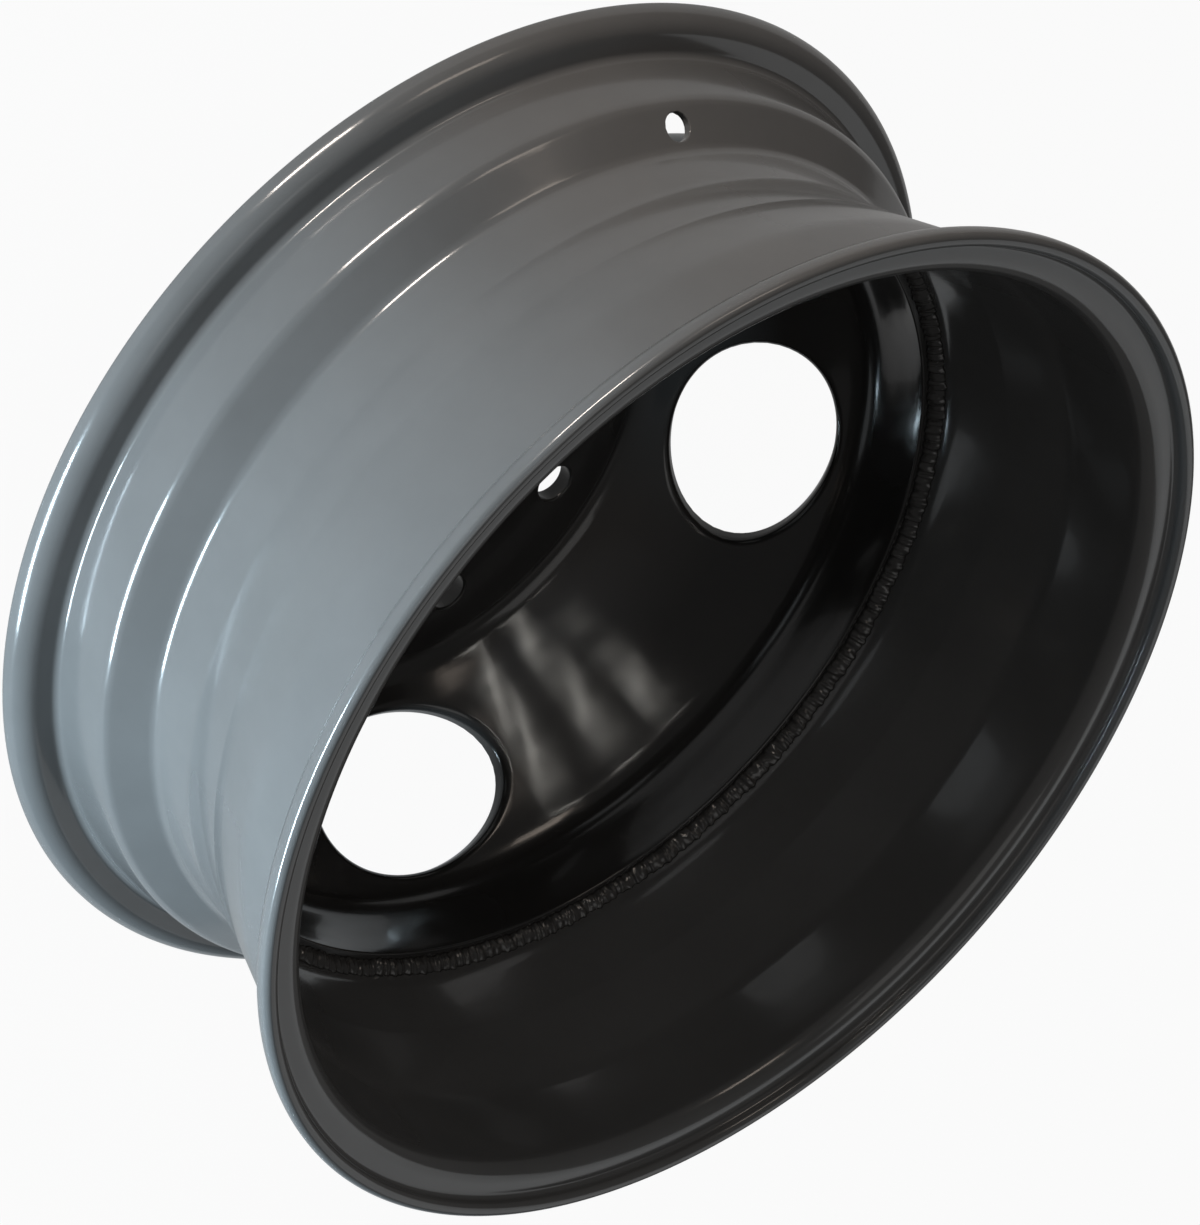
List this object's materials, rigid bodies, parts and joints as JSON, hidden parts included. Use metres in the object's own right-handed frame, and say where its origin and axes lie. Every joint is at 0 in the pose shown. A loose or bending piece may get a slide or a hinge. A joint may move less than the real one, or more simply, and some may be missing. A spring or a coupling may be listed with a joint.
{
  "type": "steel wheel rim",
  "caption": "Deep-dished steel disc wheel with a drop-centre rim, rolled flange lips, oval hand holes, a bolt circle around an open centre bore and an empty valve hole.",
  "frame": {"origin": "centre of the disc's outer face, which the wheel lies on", "axes": "+Z along the wheel's axis towards the open side of the rim, +X towards a hand hole, +Y towards the hand hole beside the valve hole"},
  "size_m": [0.441, 0.4408, 0.2196],
  "materials": {
    "rim_paint": "gloss grey paint",
    "disc_paint": "gloss grey paint",
    "weld_paint": "gloss grey paint over a rough weld"
  },
  "bodies": {
    "root": {"rim": "rim_paint", "disc": "disc_paint", "weld_bead": "weld_paint"}
  },
  "joints": []
}
